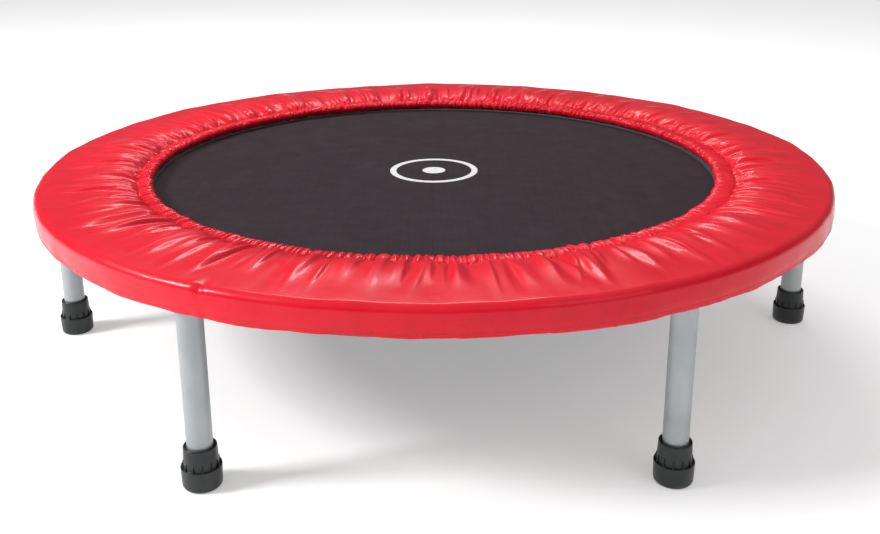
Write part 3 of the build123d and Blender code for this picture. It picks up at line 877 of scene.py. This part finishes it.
# ------------------------------------------------------------------ extension springs
V_APEX, LOOP_R, WIRE, COIL_R = hem_hi.x + 0.0155, 0.0029, 0.00098, 0.0050
X0, X1 = V_APEX + 0.005, 0.440  # where the arms leave the coil
C0, C1 = V_APEX + 0.010, 0.4350
HOLE_X = 0.4521
pts = [(V_APEX + LOOP_R * math.cos(a), 0, LOOP_R * math.sin(a)) for a in np.radians(np.linspace(52, 360, 20))]
pts += [(V_APEX + LOOP_R + (X0 - V_APEX - LOOP_R) * 0.5, 0, 0)]
turns = round((C1 - C0) / 0.002)
for u in np.linspace(0, 1, 9)[:-1]:  # spirals out from the arm to the coil
    e = u * u * (3 - 2 * u)
    a = math.radians(-90 + 180 * u)
    pts.append((X0 + (C0 - X0) * u, COIL_R * e * math.cos(a), COIL_R * e * math.sin(a)))
for k in range(turns * 14 + 1):
    a = math.radians(90) + TAU * k / 14
    pts.append((C0 + (C1 - C0) * k / (turns * 14), COIL_R * math.cos(a), COIL_R * math.sin(a)))
for u in np.linspace(0, 1, 9)[1:]:
    e = 1 - u * u * (3 - 2 * u)
    a = math.radians(90 + 180 * u)
    pts.append((C1 + (X1 - C1) * u, COIL_R * e * math.cos(a), COIL_R * e * math.sin(a)))
pts += [(X1 + (HOLE_X - X1) * u, 0, 0) for u in (0.3, 0.65, 0.95)]
pts += [(HOLE_X + 0.0024 * math.sin(a), 0, 0.0024 - 0.0024 * math.cos(a)) for a in np.radians([18, 36, 54, 72, 90])]
pts += [(HOLE_X + 0.0024, 0, 0.0035), (HOLE_X + 0.0024, 0, 0.0046)]
sv, sf = tube(np.array(pts) + np.array([0, 0, Z_MAT]), WIRE, 8)
springs = []
for k in range(N_SPRINGS):
    a = math.radians(5 + 10 * k)
    sp = dress(make(f"spring_{k + 1:02d}", turned(sv, a), sf), ZINC)
    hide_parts("springs")
    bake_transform(sp)
    springs.append(sp)

# ------------------------------------------------------------------ rubber feet
def soft_profile(points, r, steps=5):
    """A (r, z) polyline with each inner corner rounded."""
    p = [np.array(x, float) for x in points]
    out = [p[0]]
    for k in range(1, len(p) - 1):
        a, b, c = p[k - 1], p[k], p[k + 1]
        q = min(r if np.isscalar(r) else r[k], np.linalg.norm(b - a) * 0.45, np.linalg.norm(c - b) * 0.45)
        s, e = b + (a - b) / np.linalg.norm(a - b) * q, b + (c - b) / np.linalg.norm(c - b) * q
        for u in np.linspace(0, 1, steps):
            out.append((1 - u) ** 2 * s + 2 * u * (1 - u) * b + u * u * e)
    out.append(p[-1])
    return np.array(out)


mm = 0.001
outline = [(0.0004, 0.0), (8 * mm, 0.0), (8.6 * mm, 0.9 * mm), (11.4 * mm, 0.9 * mm), (12 * mm, 0.0), (17.2 * mm, 0.0), (19.0 * mm, 2.6 * mm), (19.6 * mm, 21.4 * mm),
           (19.3 * mm, 22.1 * mm), (17.1 * mm, 22.0 * mm), (16.9 * mm, 23.2 * mm), (15.95 * mm, 42.2 * mm), (15.4 * mm, 43.0 * mm),
           (14.0 * mm, 42.9 * mm), (12.9 * mm, 41.2 * mm), (12.62 * mm, 39.0 * mm), (12.62 * mm, 20.0 * mm)]
corner = [0, 0.4 * mm, 0.4 * mm, 0.4 * mm, 0.4 * mm, 1.6 * mm, 2.2 * mm, 0.7 * mm, 0.5 * mm, 0.5 * mm, 0.9 * mm, 0.6 * mm, 0.6 * mm, 0.7 * mm, 0.9 * mm, 0.5 * mm, 0]
fp = soft_profile(outline, corner, 5)
n_foot = 96
fa = np.arange(n_foot) / n_foot * TAU
fv = np.stack([np.cos(fa)[:, None] * fp[None, :, 0], np.sin(fa)[:, None] * fp[None, :, 0], np.broadcast_to(fp[None, :, 1], (n_foot, len(fp)))], -1)
ff = grid_faces(n_foot, len(fp), True, False, flip=True)


def gusset():
    """A thin triangular web standing on the ledge, as a closed small solid."""
    r0, r1 = 15.6 * mm, 19.0 * mm
    z0, z1 = 20.8 * mm, 29.2 * mm
    side = [(r0, z0), (r1, z0), (r1, 22.4 * mm), (17.9 * mm, 24.6 * mm), (17.05 * mm, z1), (r0, z1)]
    out, fs = [], []
    ys = (-0.85 * mm, -0.55 * mm, 0.55 * mm, 0.85 * mm)
    for y in ys:
        s = 1.0 if abs(y) < 0.7 * mm else 0.0
        for k, (r, z) in enumerate(side):
            dr = -0.45 * mm * (1 - s) if k in (2, 3, 4) else 0.0
            wide = 1.0 if z < 23 * mm else 0.72
            out.append((r + dr, y * wide, z - (0.3 * mm * (1 - s) if k in (2, 3) else 0)))
    n = len(side)
    for j in range(len(ys) - 1):
        for k in range(n):
            a, b = j * n + k, j * n + (k + 1) % n
            fs.append([a, b, b + n, a + n][::-1])
    fs.append([0, 1, 2, 5][::-1])
    fs.append([2, 3, 4, 5][::-1])
    m_ = (len(ys) - 1) * n
    fs.append([m_, m_ + 1, m_ + 2, m_ + 5])
    fs.append([m_ + 2, m_ + 3, m_ + 4, m_ + 5])
    return np.array(out), np.array([x[::-1] for x in fs])


gv, gf = gusset()
for name in LEGS:
    x, y = leg_axis(name)
    heading = math.atan2(y, x)
    items = [(fv.reshape(-1, 3), ff)]
    for k in range(12):
        items.append((turned(gv, math.radians(15 + 30 * k)), gf))
    ob = joined("rubber_foot_" + name, [(turned(v_, heading) + np.array([x, y, 0]), f_) for v_, f_ in items])
    ob.data.polygons.foreach_set("use_smooth", np.ones(len(ob.data.polygons), bool))
    dress(ob, RUBBER)
    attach(ob, "leg_" + name)
    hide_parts("foot_" + name)

# ------------------------------------------------------------------ threaded studs
plug_lo, plug_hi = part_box("leg_stud_right")
top_z = plug_hi.z
tube_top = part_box("leg_tube_right")[1].z
PITCH = 0.00125
rows, n_t = 118, 28
zs = np.linspace(tube_top + 0.0006, top_z, rows)
ta = np.arange(n_t) / n_t * TAU
ph = (zs[None, :] / PITCH - ta[:, None] / TAU) % 1.0
tri = np.abs(ph * 2 - 1)
rad = 0.00398 - 0.00062 * smooth01(0.15, 0.9, tri)
rad = rad * (1 - 0.22 * smooth01(top_z - 0.0012, top_z, zs))[None, :]
sv_ = np.stack([np.cos(ta)[:, None] * rad, np.sin(ta)[:, None] * rad, np.broadcast_to(zs[None, :], rad.shape)], -1)
plug = soft_profile([(0.0002, plug_lo.z), (0.0108, plug_lo.z), (0.0112, plug_lo.z + 0.0006), (0.0112, tube_top - 0.0011), (0.0105, tube_top - 0.0001), (0.0056, tube_top - 0.0001), (0.0046, tube_top + 0.0006), (0.0037, tube_top + 0.0010)], 0.0004, 4)
pv = np.stack([np.cos(ta)[:, None] * plug[None, :, 0], np.sin(ta)[:, None] * plug[None, :, 0], np.broadcast_to(plug[None, :, 1], (n_t, len(plug)))], -1)
cap = soft_profile([(0.0033, top_z - 0.0004), (0.00305, top_z), (0.0002, top_z)], 0.0002, 3)
cv = np.stack([np.cos(ta)[:, None] * cap[None, :, 0], np.sin(ta)[:, None] * cap[None, :, 0], np.broadcast_to(cap[None, :, 1], (n_t, len(cap)))], -1)
for name in LEGS:
    x, y = leg_axis(name)
    off = np.array([x, y, 0])
    ob = joined("threaded_stud_" + name, [
        (sv_.reshape(-1, 3) + off, grid_faces(n_t, rows, True, False, flip=True)),
        (pv.reshape(-1, 3) + off, grid_faces(n_t, len(plug), True, False, flip=True)),
        (cv.reshape(-1, 3) + off, grid_faces(n_t, len(cap), True, False, flip=True))])
    dress(ob, ZINC)
    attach(ob, "leg_" + name)
    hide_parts("leg_stud_" + name)

# ------------------------------------------------------------------ weld beads where the half hoops meet
ring_lo, ring_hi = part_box("frame_hoop_left")
Z_RING, TUBE_R = (ring_lo.z + ring_hi.z) / 2, (ring_hi.z - ring_lo.z) / 2
R_RING = 0.462
for k, angle in enumerate((30, 210)):
    n_w, m_w = 120, 10
    wa, wb = np.arange(n_w) / n_w * TAU, np.arange(m_w) / m_w * TAU
    g = np.random.default_rng(40 + k)
    beads = 0.00030 * np.abs(np.sin(wa * 14 + 0.4 * np.sin(wa * 3)))
    big = TUBE_R + 0.0001
    rr_ = big + (0.0007 + beads)[:, None] * np.cos(wb)[None, :]
    yy = (0.0022 + beads)[:, None] * np.sin(wb)[None, :]
    v = np.stack([R_RING + rr_ * np.cos(wa)[:, None], yy, Z_RING + rr_ * np.sin(wa)[:, None]], -1)
    ob = dress(make(f"hoop_weld_{k + 1}", turned(v.reshape(-1, 3), math.radians(angle)), grid_faces(n_w, m_w, True, True)), RING_PAINT)
    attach(ob, "frame")

# ------------------------------------------------------------------ CAD nodes that stay, with their finish
def finish_node(name, material):
    ob = NODES[name]
    dress(ob, material)
    ob.data.polygons.foreach_set("material_index", np.zeros(len(ob.data.polygons), np.int32))


for n_ in ("frame_hoop_left", "frame_hoop_right"):
    finish_node(n_, RING_PAINT)
finish_node("leg_bushes", ZINC)
finish_node("v_rings", ZINC)
finish_node("inner_elastic", ELASTIC)
finish_node("outer_elastic", ELASTIC)
for name in LEGS:
    finish_node("leg_tube_" + name, LEG_PAINT)
    finish_node("saddle_" + name, PLASTIC)

# ------------------------------------------------------------------ floor, light, camera
me = bpy.data.meshes.new("floor")
me.from_pydata([(-14, -14, 0), (14, -14, 0), (14, 14, 0), (-14, 14, 0)], [], [(0, 1, 2, 3)])
floor = bpy.data.objects.new("floor", me)
bpy.context.scene.collection.objects.link(floor)
fm = bpy.data.materials.new("floor_pale")
fm.use_nodes = True
fb = fm.node_tree.nodes["Principled BSDF"]
fb.inputs["Base Color"].default_value = (0.90, 0.90, 0.90, 1)
fb.inputs["Roughness"].default_value = 0.9
fb.inputs["Emission Color"].default_value = (1.0, 1.0, 1.0, 1)
fb.inputs["Emission Strength"].default_value = 0.31
# clear from below, so that the underside can be looked at
ft = fm.node_tree
side, clear, both = ft.nodes.new("ShaderNodeNewGeometry"), ft.nodes.new("ShaderNodeBsdfTransparent"), ft.nodes.new("ShaderNodeMixShader")
ft.links.new(side.outputs["Backfacing"], both.inputs["Fac"])
ft.links.new(fb.outputs["BSDF"], both.inputs[1])
ft.links.new(clear.outputs["BSDF"], both.inputs[2])
ft.links.new(both.outputs["Shader"], ft.nodes["Material Output"].inputs["Surface"])
me.materials.append(fm)

world = bpy.data.worlds.new("studio")
bpy.context.scene.world = world
world.use_nodes = True
wt = world.node_tree
bg = wt.nodes["Background"]
# a studio whose walls are dimmer than its ceiling
wco = wt.nodes.new("ShaderNodeTexCoord")
wsep = wt.nodes.new("ShaderNodeSeparateXYZ")
wmap = wt.nodes.new("ShaderNodeMapRange")
wmap.interpolation_type = "SMOOTHSTEP"
wmap.inputs["From Min"].default_value, wmap.inputs["From Max"].default_value = 0.28, 0.85
wmap.inputs["To Min"].default_value, wmap.inputs["To Max"].default_value = 0.12, 0.62
wt.links.new(wco.outputs["Generated"], wsep.inputs[0])
wt.links.new(wsep.outputs[2], wmap.inputs["Value"])
wray = wt.nodes.new("ShaderNodeLightPath")
wpale = wt.nodes.new("ShaderNodeMath")
wpale.operation = "MULTIPLY"
wpale.inputs[1].default_value = 0.88
wmost = wt.nodes.new("ShaderNodeMath")
wmost.operation = "MAXIMUM"
wt.links.new(wray.outputs["Is Camera Ray"], wpale.inputs[0])
wt.links.new(wpale.outputs[0], wmost.inputs[0])
wt.links.new(wmap.outputs["Result"], wmost.inputs[1])
wt.links.new(wmost.outputs[0], bg.inputs[1])
bg.inputs[0].default_value = (1.0, 1.0, 1.0, 1)


def area(name, where, at, size, power, size_y=None, colour=(1, 1, 1)):
    li = bpy.data.lights.new(name, "AREA")
    li.energy, li.color = power, colour
    li.size = size
    if size_y:
        li.shape, li.size_y = "RECTANGLE", size_y
    ob = bpy.data.objects.new(name, li)
    bpy.context.scene.collection.objects.link(ob)
    ob.location = where
    ob.rotation_euler = (Vector(at) - Vector(where)).to_track_quat("-Z", "Y").to_euler()
    return ob


area("key", (-2.9, -0.9, 2.1), (0, 0, 0.15), 0.8, 105)
area("back_top", (-0.2, 1.8, 2.5), (0, 0, 0.2), 1.6, 30, 0.5)
area("fill", (2.0, -2.4, 1.7), (0, 0, 0.1), 1.6, 9)

scene = bpy.context.scene
scene.view_settings.view_transform = "Standard"
scene.view_settings.look = "None"

cam = bpy.data.cameras.new("camera")
cam.sensor_width = 36.0
cam.lens = 1019.0 * 36.0 / 880.0
cam.shift_x = (440.0 - 434.0) / 880.0
cam.shift_y = (190.8 - 267.0) / 880.0
cam.clip_start, cam.clip_end = 0.02, 60
co = bpy.data.objects.new("camera", cam)
scene.collection.objects.link(co)
pitch, roll = math.radians(17.0), math.radians(-0.33)
co.matrix_world = Matrix.Translation((0.0, -1.256, 0.552)) @ Matrix.Rotation(math.pi / 2 - pitch, 4, "X") @ Matrix.Rotation(roll, 4, "Z")
scene.camera = co
